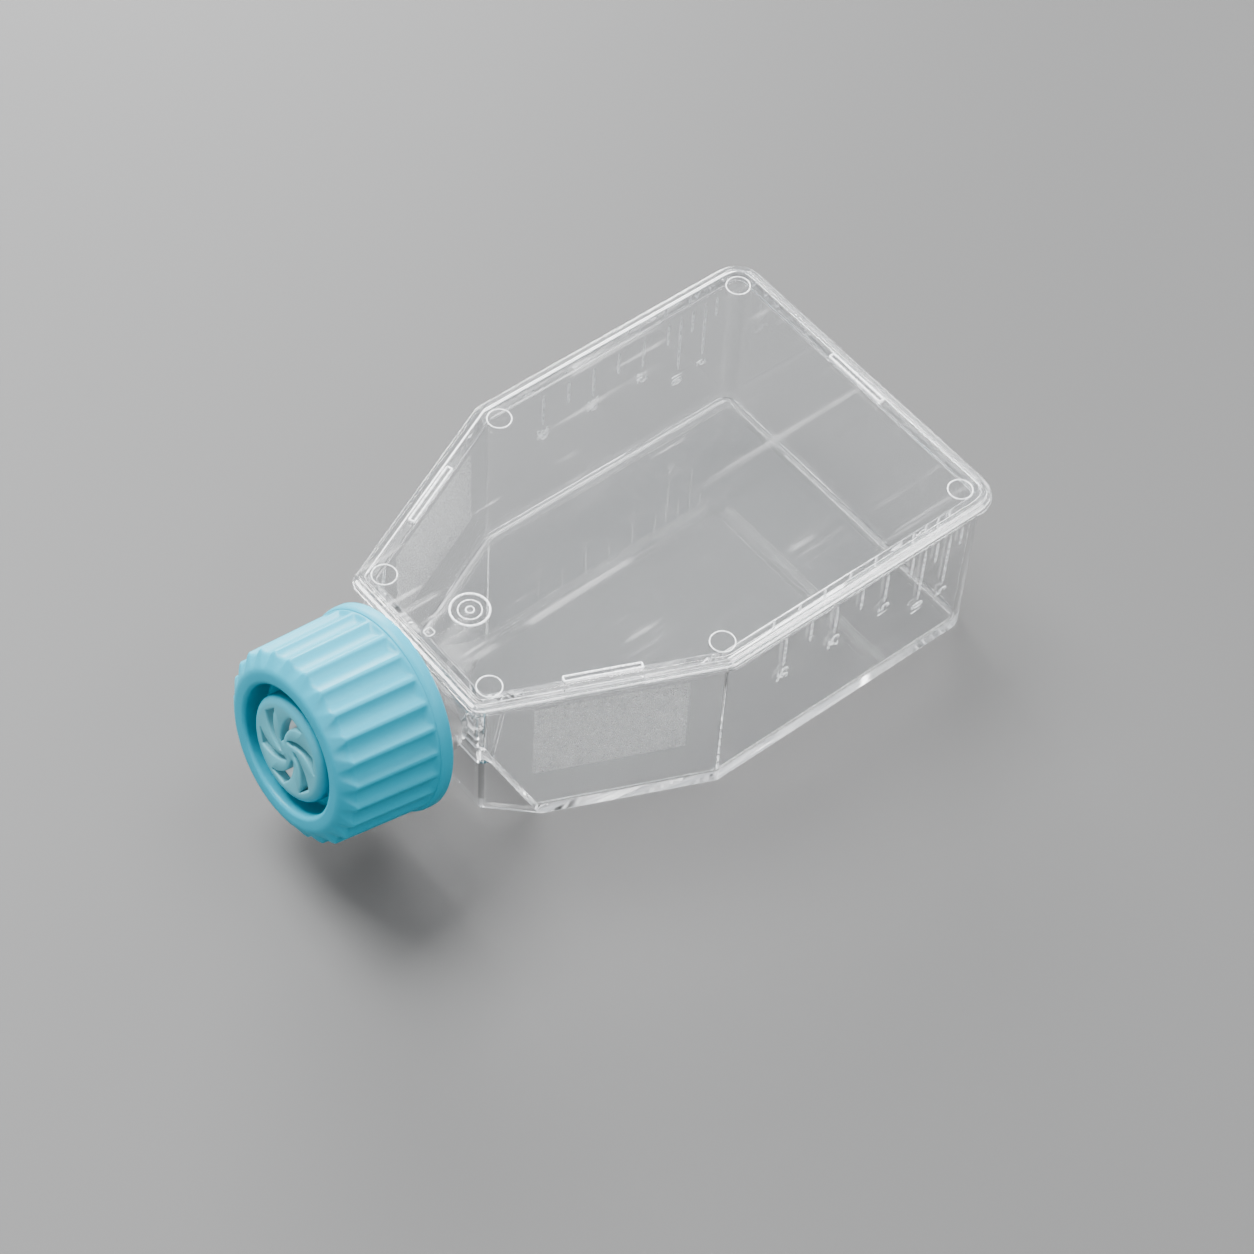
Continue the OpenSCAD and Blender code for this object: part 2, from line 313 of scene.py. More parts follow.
def close_tree(tree, source, entry, out):
    """Realize Instances and Set Material, then the output."""
    real = tree.nodes.new("GeometryNodeRealizeInstances")
    paint = tree.nodes.new("GeometryNodeSetMaterial")
    tree.links.new(source, real.inputs["Geometry"])
    tree.links.new(real.outputs[0], paint.inputs["Geometry"])
    tree.links.new(entry.outputs["Finish"], paint.inputs["Material"])
    tree.links.new(paint.outputs[0], out.inputs[0])


def grow(tree, name, base, values, finish):
    """Runs a tree on a mesh and gives back a plain mesh object."""
    obj = to_object(base, name)
    mod = obj.modifiers.new("nodes", "NODES")
    mod.node_group = tree
    ids = {s.name: s.identifier for s in tree.interface.items_tree if s.in_out == "INPUT"}
    for label, value in values.items():
        mod[ids[label]] = value
    mod[ids["Finish"]] = finish
    return bake_modifiers(obj)


def link(tree, a, b):
    tree.links.new(a, b)


def shader_group(name, inputs, outputs):
    """Shader node group with named inputs and outputs."""
    tree = bpy.data.node_groups.new(name, "ShaderNodeTree")
    for label, kind, value in inputs:
        s = tree.interface.new_socket(label, in_out="INPUT", socket_type=kind)
        if value is not None:
            s.default_value = value
    for label, kind in outputs:
        tree.interface.new_socket(label, in_out="OUTPUT", socket_type=kind)
    return tree, tree.nodes.new("NodeGroupInput"), tree.nodes.new("NodeGroupOutput")


def noise(tree, coords, scale, detail=3.0, rough=0.5):
    """Noise from 0 to 1, with scale in waves per metre."""
    n = tree.nodes.new("ShaderNodeTexNoise")
    n.inputs["Scale"].default_value = scale
    n.inputs["Detail"].default_value = detail
    n.inputs["Roughness"].default_value = rough
    link(tree, coords, n.inputs["Vector"])
    return n.outputs["Fac"]


def ramp(tree, value, low, high, to_low=0.0, to_high=1.0):
    """Maps low..high to to_low..to_high, and holds the ends."""
    n = tree.nodes.new("ShaderNodeMapRange")
    n.inputs["From Min"].default_value, n.inputs["From Max"].default_value = low, high
    n.inputs["To Min"].default_value, n.inputs["To Max"].default_value = to_low, to_high
    link(tree, value, n.inputs["Value"])
    return n.outputs["Result"]


# ---------------------------------------------------------------- shared surface effects
def handling_marks():
    """Faint scratches, dust and moulding waves: a mask and a height."""
    tree, entry, out = shader_group(
        "handling marks",
        [("Vector", "NodeSocketVector", None), ("Scratches", "NodeSocketFloat", 0.5),
         ("Waves", "NodeSocketFloat", 0.5)],
        [("Mask", "NodeSocketFloat"), ("Height", "NodeSocketFloat")])
    scratches = None
    for turn, scale in ((0.5, 900.0), (-0.9, 700.0)):
        spin = tree.nodes.new("ShaderNodeMapping")
        spin.inputs["Rotation"].default_value = (0, 0, turn)
        spin.inputs["Scale"].default_value = (0.03, 1.0, 0.25)
        link(tree, entry.outputs["Vector"], spin.inputs["Vector"])
        fine = noise(tree, spin.outputs[0], scale, 0.0)
        thin = ramp(tree, fine, 0.70, 0.76)
        scratches = Sum(tree, thin) if scratches is None else scratches.maximum(Sum(tree, thin))
    patch = ramp(tree, noise(tree, entry.outputs["Vector"], 110.0, 0.0), 0.48, 0.62)
    specks = tree.nodes.new("ShaderNodeTexVoronoi")
    specks.inputs["Scale"].default_value = 420.0
    link(tree, entry.outputs["Vector"], specks.inputs["Vector"])
    dust = ramp(tree, specks.outputs["Distance"], 0.055, 0.035)
    sparse = ramp(tree, noise(tree, entry.outputs["Vector"], 260.0, 0.0), 0.6, 0.68)
    mask = (scratches * Sum(tree, patch) * Sum(tree, entry.outputs["Scratches"])).maximum(
        Sum(tree, dust) * Sum(tree, sparse) * 0.7)
    link(tree, mask.value, out.inputs["Mask"])
    wave = Sum(tree, noise(tree, entry.outputs["Vector"], 45.0, 0.0)) * Sum(tree, entry.outputs["Waves"])
    link(tree, (wave - mask * 0.15).value, out.inputs["Height"])
    return tree


def writing_patch():
    """Mask of the matt writing areas on the outer faces of both shoulders."""
    tree, entry, out = shader_group("writing patch", [
        ("Vector", "NodeSocketVector", None), ("Back end", "NodeSocketFloat", -0.0113),
        ("Front end", "NodeSocketFloat", -0.0285), ("Foot", "NodeSocketFloat", 0.0092),
        ("Head", "NodeSocketFloat", 0.0221)], [("Mask", "NodeSocketFloat")])
    split = tree.nodes.new("ShaderNodeSeparateXYZ")
    link(tree, entry.outputs["Vector"], split.inputs[0])
    x, y, z = (Sum(tree, split.outputs[k]) for k in range(3))
    low, high = Sum(tree, entry.outputs["Foot"]), Sum(tree, entry.outputs["Head"])
    back, front = Sum(tree, entry.outputs["Back end"]), Sum(tree, entry.outputs["Front end"])
    face = (x + HALF_LEN * MM) * math.tan(SLANT) + (HALF_FRONT - 0.25) * MM
    mask = y.op("ABSOLUTE").step_over(face) * x.step_over(front) * back.step_over(x)
    mask = mask * z.step_over(low) * high.step_over(z)
    link(tree, mask.value, out.inputs["Mask"])
    return tree


def film_light_masks():
    """Masks of the thin vent disc and of its slot walls, where painted light stands in for the white film
    behind shining through the disc and lighting the walls.
    """
    tree, entry, out = shader_group("vent disc", [("Vector", "NodeSocketVector", None)],
                                    [("Mask", "NodeSocketFloat"), ("Film light on walls", "NodeSocketFloat")])
    turn = tree.nodes.new("ShaderNodeMapping")
    turn.vector_type = "TEXTURE"
    turn.inputs["Location"].default_value = (AXIS_X * MM, 0, AXIS_Z * MM)
    turn.inputs["Rotation"].default_value = (0, CANT - math.pi / 2, 0)
    link(tree, entry.outputs["Vector"], turn.inputs["Vector"])
    parts = tree.nodes.new("ShaderNodeSeparateXYZ")
    link(tree, turn.outputs[0], parts.inputs[0])
    x, y = Sum(tree, parts.outputs["X"]), Sum(tree, parts.outputs["Y"])
    near = Sum(tree, ramp(tree, (x * x + y * y).root().value, 0.0054, 0.0067, 1.0, 0.0))
    deep = Sum(tree, ramp(tree, parts.outputs["Z"], 0.0125, 0.0130, 0.0, 1.0))
    # painted light: the disc mask marks where the film behind is made to shine through
    link(tree, (near * deep).value, out.inputs["Mask"])
    under = Sum(tree, ramp(tree, parts.outputs["Z"], 0.0139, 0.01434, 1.0, 0.0))
    link(tree, (near * deep * under).value, out.inputs["Film light on walls"])
    return tree


MARKS = handling_marks()
PATCH = writing_patch()
FILM_LIGHT_MASKS = film_light_masks()


def add_group(nt, group, coords, **values):
    """Places a shader group in a material, fed with the material's coordinates."""
    node = nt.nodes.new("ShaderNodeGroup")
    node.node_tree = group
    link(nt, coords, node.inputs["Vector"])
    for label, value in values.items():
        node.inputs[label.replace("_", " ")].default_value = value
    return node


CLEAR_TINT = (0.972, 0.98, 0.983)
POLYSTYRENE_IOR = 1.59


def start_material(name):
    """Empty material with its output, object coordinates and main shader."""
    mat = bpy.data.materials.new(name)
    mat.use_nodes = True
    nt = mat.node_tree
    nt.nodes.clear()
    out = nt.nodes.new("ShaderNodeOutputMaterial")
    coords = nt.nodes.new("ShaderNodeTexCoord").outputs["Object"]
    bsdf = nt.nodes.new("ShaderNodeBsdfPrincipled")
    return mat, nt, out, coords, bsdf


def bump(nt, height, strength, distance, bsdf):
    """Fine relief; distance is in metres."""
    node = nt.nodes.new("ShaderNodeBump")
    node.inputs["Strength"].default_value = strength
    node.inputs["Distance"].default_value = distance
    link(nt, height, node.inputs["Height"])
    link(nt, node.outputs["Normal"], bsdf.inputs["Normal"])


def two_tone(nt, factor, low, high):
    """Colour that goes from low to high with factor."""
    mix = nt.nodes.new("ShaderNodeMix")
    mix.data_type = "RGBA"
    mix.inputs["A"].default_value = (*low, 1)
    mix.inputs["B"].default_value = (*high, 1)
    link(nt, factor, mix.inputs["Factor"])
    return mix.outputs["Result"]


def clear_plastic(name, scratches, waves, patches=False):
    """Crystal polystyrene: clear, hard and bright, with faint handling marks."""
    mat, nt, out, coords, bsdf = start_material(name)
    bsdf.inputs["Base Color"].default_value = (*CLEAR_TINT, 1)
    bsdf.inputs["IOR"].default_value = POLYSTYRENE_IOR
    bsdf.inputs["Transmission Weight"].default_value = 1.0
    marks = add_group(nt, MARKS, coords, Scratches=scratches, Waves=waves)
    level = Sum(nt, marks.outputs["Mask"]) * 0.22
    if patches:
        patch = Sum(nt, add_group(nt, PATCH, coords).outputs["Mask"])
        grain = Sum(nt, noise(nt, coords, 7000.0, 0.0))
        level = level.maximum(patch * (grain * 0.06 + 0.24))
        shade = two_tone(nt, (patch * (grain * 0.1 + 0.3)).value, CLEAR_TINT, (0.86, 0.87, 0.88))
        link(nt, shade, bsdf.inputs["Base Color"])
    link(nt, level.minimum(1.0).value, bsdf.inputs["Roughness"])
    bump(nt, marks.outputs["Height"], 0.06, 0.0004, bsdf)
    # lamp light passes through, less so where the wall is seen edge on
    rim = nt.nodes.new("ShaderNodeLayerWeight")
    rim.inputs["Blend"].default_value = 0.35
    dim = nt.nodes.new("ShaderNodeMapRange")
    dim.inputs["To Min"].default_value, dim.inputs["To Max"].default_value = 0.96, 0.45
    link(nt, rim.outputs["Facing"], dim.inputs["Value"])
    grey = nt.nodes.new("ShaderNodeCombineColor")
    for k in range(3):
        link(nt, dim.outputs["Result"], grey.inputs[k])
    clear = nt.nodes.new("ShaderNodeBsdfTransparent")
    link(nt, grey.outputs[0], clear.inputs["Color"])
    path = nt.nodes.new("ShaderNodeLightPath")
    surface = bsdf.outputs[0]
    for kind in ("Is Shadow Ray", "Is Diffuse Ray"):
        mix = nt.nodes.new("ShaderNodeMixShader")
        link(nt, path.outputs[kind], mix.inputs["Fac"])
        link(nt, surface, mix.inputs[1])
        link(nt, clear.outputs[0], mix.inputs[2])
        surface = mix.outputs[0]
    link(nt, surface, out.inputs["Surface"])
    return mat


def frosted_plastic():
    """Polystyrene off a textured tool: the same plastic, whitened by its fine grain."""
    mat, nt, out, coords, bsdf = start_material("frosted polystyrene")
    grain = noise(nt, coords, 2400.0, 2.0)
    link(nt, two_tone(nt, grain, (0.80, 0.82, 0.83), (0.93, 0.94, 0.95)), bsdf.inputs["Base Color"])
    link(nt, ramp(nt, grain, 0.3, 0.7, 0.22, 0.34), bsdf.inputs["Roughness"])
    bsdf.inputs["IOR"].default_value = POLYSTYRENE_IOR
    bsdf.inputs["Transmission Weight"].default_value = 0.45
    bump(nt, grain, 0.1, 0.00004, bsdf)
    link(nt, bsdf.outputs[0], out.inputs["Surface"])
    return mat


def cap_plastic():
    """Light blue polyethylene: satin, a little waxy, with faint flow and fine grain, and painted light from
    the white film behind on the vent disc.
    """
    mat, nt, out, coords, bsdf = start_material("satin blue polyethylene")
    flow = noise(nt, coords, 70.0, 3.0)
    mottle = noise(nt, coords, 900.0, 2.0)
    tone = Sum(nt, flow) * 0.7 + Sum(nt, mottle) * 0.3
    base = two_tone(nt, tone.value, (0.003, 0.195, 0.272), (0.004, 0.215, 0.297))
    vent = add_group(nt, FILM_LIGHT_MASKS, coords)
    # painted light: the vent disc and its slot walls get paler colours where the white film behind would
    # light them
    for mask, shade in (("Mask", (0.055, 0.235, 0.285, 1)), ("Film light on walls", (0.08, 0.285, 0.34, 1))):
        painted_film_light = nt.nodes.new("ShaderNodeMix")
        painted_film_light.data_type = "RGBA"
        painted_film_light.inputs["B"].default_value = shade
        link(nt, vent.outputs[mask], painted_film_light.inputs["Factor"])
        link(nt, base, painted_film_light.inputs["A"])
        base = painted_film_light.outputs["Result"]
    link(nt, base, bsdf.inputs["Base Color"])
    marks = add_group(nt, MARKS, coords, Scratches=0.2, Waves=0.3)
    gloss = Sum(nt, ramp(nt, mottle, 0.3, 0.7, 0.39, 0.43)) + Sum(nt, marks.outputs["Mask"]) * 0.05
    link(nt, gloss.value, bsdf.inputs["Roughness"])
    bsdf.inputs["IOR"].default_value = 1.5
    bsdf.inputs["Specular IOR Level"].default_value = 0.14
    bsdf.inputs["Subsurface Weight"].default_value = 0.35
    bsdf.inputs["Subsurface Radius"].default_value = (0.35, 0.9, 1.0)
    bsdf.inputs["Subsurface Scale"].default_value = 0.0012
    height = Sum(nt, mottle) * 0.4 + Sum(nt, flow)
    bump(nt, height.value, 0.08, 0.00012, bsdf)
    link(nt, bsdf.outputs[0], out.inputs["Surface"])
    return mat


def porous_film():
    """White stretched PTFE film with painted shade, coloured a darker grey-teal for the shade and teal
    light inside the cap: matt, with a fine fibrous grain.
    """
    mat, nt, out, coords, bsdf = start_material("porous film in painted shade")
    fibres = noise(nt, coords, 3200.0, 4.0, 0.7)
    # painted shade: grey-teal instead of white, for the shaded film behind the slots
    link(nt, two_tone(nt, fibres, (0.46, 0.52, 0.52), (0.58, 0.63, 0.63)), bsdf.inputs["Base Color"])
    link(nt, ramp(nt, fibres, 0.3, 0.7, 0.7, 0.9), bsdf.inputs["Roughness"])
    bump(nt, fibres, 0.3, 0.00005, bsdf)
    link(nt, bsdf.outputs[0], out.inputs["Surface"])
    return mat


TUB_FINISH = clear_plastic("clear polystyrene tub", scratches=0.5, waves=0.5, patches=True)
PLATE_FINISH = clear_plastic("clear polystyrene plate", scratches=0.9, waves=0.35)
MARK_FINISH = frosted_plastic()
CAP_FINISH = cap_plastic()
SHADED_FILM_FINISH = porous_film()


# ---------------------------------------------------------------- raised marks
def raised_line_tree():
    """Round ridge that follows every line of a flat drawing, flattened to its real height."""
    tree, entry, out = geometry_tree("raised lines", [
        ("Width", "NodeSocketFloat", 0.4), ("Height", "NodeSocketFloat", 0.12),
        ("End length", "NodeSocketFloat", 0.2)])
    nodes = tree.nodes
    curve = nodes.new("GeometryNodeMeshToCurve")
    link(tree, entry.outputs["Geometry"], curve.inputs["Mesh"])
    along = nodes.new("GeometryNodeSplineParameter")
    length = nodes.new("GeometryNodeSplineLength")
    end = Sum(tree, length.outputs["Length"]) - Sum(tree, along.outputs["Length"])
    near = end.minimum(Sum(tree, along.outputs["Length"])) / Sum(tree, entry.outputs["End length"])
    back = near.minimum(1.0).op("MULTIPLY_ADD", -1.0, 1.0)
    dome = (back * back).op("MULTIPLY_ADD", -1.0, 1.0).maximum(0.03).root()
    closed = nodes.new("GeometryNodeInputSplineCyclic")
    taper = nodes.new("GeometryNodeSetCurveRadius")
    link(tree, curve.outputs[0], taper.inputs["Curve"])
    link(tree, dome.maximum(Sum(tree, closed.outputs[0])).value, taper.inputs["Radius"])
    ring = nodes.new("GeometryNodeCurvePrimitiveCircle")
    ring.inputs["Resolution"].default_value = 12
    link(tree, (Sum(tree, entry.outputs["Width"]) * 0.5).value, ring.inputs["Radius"])
    sweep = nodes.new("GeometryNodeCurveToMesh")
    sweep.inputs["Fill Caps"].default_value = True
    link(tree, taper.outputs[0], sweep.inputs["Curve"])
    link(tree, ring.outputs[0], sweep.inputs["Profile Curve"])
    if "Scale" in sweep.inputs:
        radius = nodes.new("GeometryNodeInputRadius")
        link(tree, radius.outputs[0], sweep.inputs["Scale"])
    press = nodes.new("GeometryNodeTransform")
    size = nodes.new("ShaderNodeCombineXYZ")
    size.inputs[0].default_value = size.inputs[1].default_value = 1.0
    flat = Sum(tree, entry.outputs["Height"]) / (Sum(tree, entry.outputs["Width"]) * 0.5)
    link(tree, flat.value, size.inputs[2])
    link(tree, sweep.outputs[0], press.inputs["Geometry"])
    link(tree, size.outputs[0], press.inputs["Scale"])
    close_tree(tree, press.outputs[0], entry, out)
    return tree


def drawing(lines):
    """Flat line drawing: each line is a list of (x, y) points and whether it is closed."""
    bm = bmesh.new()
    for points, closed in lines:
        verts = [bm.verts.new((x, y, 0)) for x, y in points]
        for a, b in zip(verts, verts[1:] + (verts[:1] if closed else [])):
            bm.edges.new((a, b))
    return bm


def circle_line(x, y, r, n=40):
    """Closed round line."""
    turns = [2 * math.pi * k / n for k in range(n)]
    return [(x + r * math.cos(a), y + r * math.sin(a)) for a in turns], True


# ---------------------------------------------------------------- screw threads
def thread_tree():
    """Ridge that winds round Z, with ends that run out."""
    tree, entry, out = geometry_tree("screw thread", [
        ("Turns", "NodeSocketFloat", 2.0), ("Lead", "NodeSocketFloat", 3.0),
        ("Radius", "NodeSocketFloat", 10.0), ("Start", "NodeSocketFloat", 2.0),
        ("Width", "NodeSocketFloat", 1.2), ("Depth", "NodeSocketFloat", 0.5),
        ("Steps per turn", "NodeSocketInt", 72)])
    nodes = tree.nodes
    helix = nodes.new("GeometryNodeCurveSpiral")
    link(tree, entry.outputs["Steps per turn"], helix.inputs["Resolution"])
    link(tree, entry.outputs["Turns"], helix.inputs["Rotations"])
    link(tree, entry.outputs["Radius"], helix.inputs["Start Radius"])
    link(tree, entry.outputs["Radius"], helix.inputs["End Radius"])
    height = Sum(tree, entry.outputs["Lead"]) * Sum(tree, entry.outputs["Turns"])
    link(tree, height.value, helix.inputs["Height"])
    helix.inputs["Reverse"].default_value = True  # right-handed
    lift = nodes.new("GeometryNodeTransform")
    place = nodes.new("ShaderNodeCombineXYZ")
    link(tree, entry.outputs["Start"], place.inputs[2])
    link(tree, place.outputs[0], lift.inputs["Translation"])
    link(tree, helix.outputs[0], lift.inputs["Geometry"])
    level = nodes.new("GeometryNodeSetCurveNormal")
    level.mode = "Z_UP"
    link(tree, lift.outputs[0], level.inputs["Curve"])
    along = nodes.new("GeometryNodeSplineParameter")
    f = Sum(tree, along.outputs["Factor"])
    ends = f.minimum(f.op("MULTIPLY_ADD", -1.0, 1.0)) * 14.0
    taper = nodes.new("GeometryNodeSetCurveRadius")
    link(tree, ends.minimum(1.0).maximum(0.05).value, taper.inputs["Radius"])
    link(tree, level.outputs[0], taper.inputs["Curve"])
    section = nodes.new("GeometryNodeCurvePrimitiveCircle")
    section.inputs["Resolution"].default_value = 10
    section.inputs["Radius"].default_value = 1.0
    flat = nodes.new("GeometryNodeTransform")
    size = nodes.new("ShaderNodeCombineXYZ")
    link(tree, entry.outputs["Depth"], size.inputs[0])
    link(tree, (Sum(tree, entry.outputs["Width"]) * 0.5).value, size.inputs[1])
    size.inputs[2].default_value = 1.0
    link(tree, size.outputs[0], flat.inputs["Scale"])
    link(tree, section.outputs[0], flat.inputs["Geometry"])
    sweep = nodes.new("GeometryNodeCurveToMesh")
    sweep.inputs["Fill Caps"].default_value = True
    link(tree, taper.outputs[0], sweep.inputs["Curve"])
    link(tree, flat.outputs[0], sweep.inputs["Profile Curve"])
    close_tree(tree, sweep.outputs[0], entry, out)
    return tree


THREAD = thread_tree()
LINES = raised_line_tree()


# ---------------------------------------------------------------- numbers and volume marks
TICK_TOP, DIGIT_H = 22.1, 1.5
DIGITS = {  # strokes on a grid one unit wide and two tall
    "0": [([(0.5, 2), (0.12, 1.8), (0, 1.4), (0, 0.6), (0.12, 0.2), (0.5, 0), (0.88, 0.2), (1, 0.6),
            (1, 1.4), (0.88, 1.8)], True)],
    "1": [([(0.25, 1.65), (0.6, 2), (0.6, 0)], False)],
    "2": [([(0, 1.6), (0.15, 1.88), (0.5, 2), (0.85, 1.88), (1, 1.5), (0.85, 1.1), (0, 0), (1, 0)], False)],
    "3": [([(0, 1.75), (0.2, 1.95), (0.6, 2), (0.95, 1.75), (0.95, 1.35), (0.5, 1.08), (0.95, 0.8),
            (1, 0.4), (0.7, 0.04), (0.25, 0.02), (0, 0.3)], False)],
    "5": [([(0.95, 2), (0.12, 2), (0.05, 1.15), (0.5, 1.28), (0.9, 1.05), (1, 0.6), (0.85, 0.18), (0.45, 0),
            (0, 0.22)], False)]}


def number(text, x, z, side):
    """Strokes of a number that reads upright from outside when the flask stands on its back wall."""
    lines, pitch, scale = [], 1.55, DIGIT_H / 2
    for k, digit in enumerate(text):
        for points, closed in DIGITS[digit]:
            placed = []
            for u, v in points:
                across = (u - 0.5 + (k - (len(text) - 1) / 2) * pitch) * scale
                placed.append((x - (v - 1) * scale, z - across * side))
            lines.append((placed, closed))
    return lines


def wall_marks(side):
    """Ticks and numbers of one long wall, drawn in X and Z."""
    lines = []
    feet = {2 + 4.07 * k: 16.6 if k % 2 == 0 else 18.1 for k in range(6)}
    feet.update({24.4: 12.2, 26.4: 18.0, 28.5: 12.2, 30.4: 18.6})
    for x, foot in feet.items():
        lines.append(([(x, foot + (TICK_TOP - foot) * k / 8) for k in range(9)], False))
    for text, x, z in (("35", 2.0, 14.9), ("25", 10.14, 14.9), ("15", 18.28, 14.9), ("10", 24.4, 10.5),
                       ("5", 28.5, 10.9)):
        lines += number(text, x, z, side)
    return lines


# ---------------------------------------------------------------- the tub
NECK_STEPS = 112


def make_tub():
    """Tub, ramp, skirt, canted neck and its thread, corner beads and volume marks in one solid."""
    shell = loft(
        quarter(-0.45, 0.45, 0.45, -90, 0, 5)
        + [(0, 6.0), (0, 18.0), (0, 24.2), (0.06, 24.34), (0.2, 24.4), (1.05, 24.42)]
        + [(1.19, 24.47), (1.25, 24.56), (1.25, 24.68), (1.19, 24.77), (1.05, 24.81)]
        + [(0.2, 24.82), (0.1, 24.86), (0.04, 24.92), (-0.1, 24.93)])
    cut_plane(shell, (-26.7, 0, 0), (-4.3, 0, -7.9))  # bevel under the front
    tub = to_object(shell, "tub")

    slope = (RAMP_FOOT - RAMP_HEAD) / (RAMP_H - FLOOR_T)
    skirt = loft([(-WALL, -2), (-WALL, 13)], side_r=0.7, grow=False)
    cut_plane(skirt, (-HALF_LEN + RAMP_FOOT - RAMP_T, 0, FLOOR_T), (1, 0, slope))
    cut_plane(skirt, (0, 0, RAMP_H - 1.4), (0, 0, 1))
    combine(tub, to_object(skirt, "hollow"), "DIFFERENCE")

    neck = to_object(turned([(0, -7.6), (8.0, -7.6), (9.9, 4.6), (9.9, 12.7)]
                            + quarter(9.65, 12.7, 0.25, 0, 90, 3) + [(0, MOUTH_Z)], NECK_STEPS), "neck")
    thread = grow(THREAD, "neck thread", bmesh.new(),
                  {"Turns": 2.25, "Lead": THREAD_LEAD, "Radius": 9.75, "Start": 3.6, "Width": 1.5,
                   "Depth": 0.7}, TUB_FINISH)
    combine(neck, thread, "UNION")
    neck.data.transform(NECK)
    combine(tub, neck, "UNION")

    chamber = loft(quarter(-WALL - 0.8, FLOOR_T + 0.8, 0.8, -90, 0, 5) + [(-WALL, 12.0), (-WALL, 26.5)])
    cut_plane(chamber, (-HALF_LEN + RAMP_FOOT, 0, FLOOR_T), (-1, 0, -slope))
    combine(tub, to_object(chamber, "chamber"), "DIFFERENCE")

    bore = turned([(0, -10), (BORE_R, -10), (SEAT_R, 5), (SEAT_R, 12.7), (8.98, 12.87), (9.2, MOUTH_Z),
                   (9.2, 15), (0, 15)], NECK_STEPS, NECK)
    combine(tub, to_object(bore, "bore"), "DIFFERENCE")
    soften(tub, 0.14)
    for side in (1, -1):
        x = -HALF_LEN + 2.8
        y = HALF_FRONT + (x + HALF_LEN) * math.tan(SLANT) - WALL / math.cos(SLANT)
        place = (Matrix.Translation((x, side * y, 18.3)) @ Matrix.Rotation(side * SLANT, 4, "Z")
                 @ Matrix.Rotation(math.pi / 2, 4, "X") @ Matrix.Rotation(BEAD_LEAN, 4, "Z"))
        bead = rounded_bar(12.0, 0.45, -0.3, 0.3, 0.08)
        bead.transform(place)
        combine(tub, to_object(bead, "bead"), "UNION")
    one_finish(tub, TUB_FINISH)
    for side in (1, -1):
        marks = grow(LINES, "wall marks", drawing(wall_marks(side)),
                     {"Width": 0.44, "Height": 0.12, "End length": 0.22}, MARK_FINISH)
        stand = Matrix.Translation((0, side * HALF_W, 0)) @ Matrix.Rotation(math.pi / 2, 4, "X")
        marks.data.transform(stand)
        combine(tub, marks, "UNION")
    return tub


def rounded_bar(length, width, z0, z1, soft):
    """Bar with round ends along X; both of its faces get a small radius."""
    n, half, w = 10, length / 2, width / 2
    ends = [(s * (half - w) + s * w * math.sin(a), -s * w * math.cos(a))
            for s in (1, -1) for a in [math.pi * k / n for k in range(n + 1)]]
    solid = prism(ends, z0, z1)
    rims = [e for e in solid.edges if len({round(v.co.z, 4) for v in e.verts}) == 1]
    bmesh.ops.bevel(solid, geom=rims, offset=soft, segments=3, profile=0.5, affect="EDGES")
    return solid


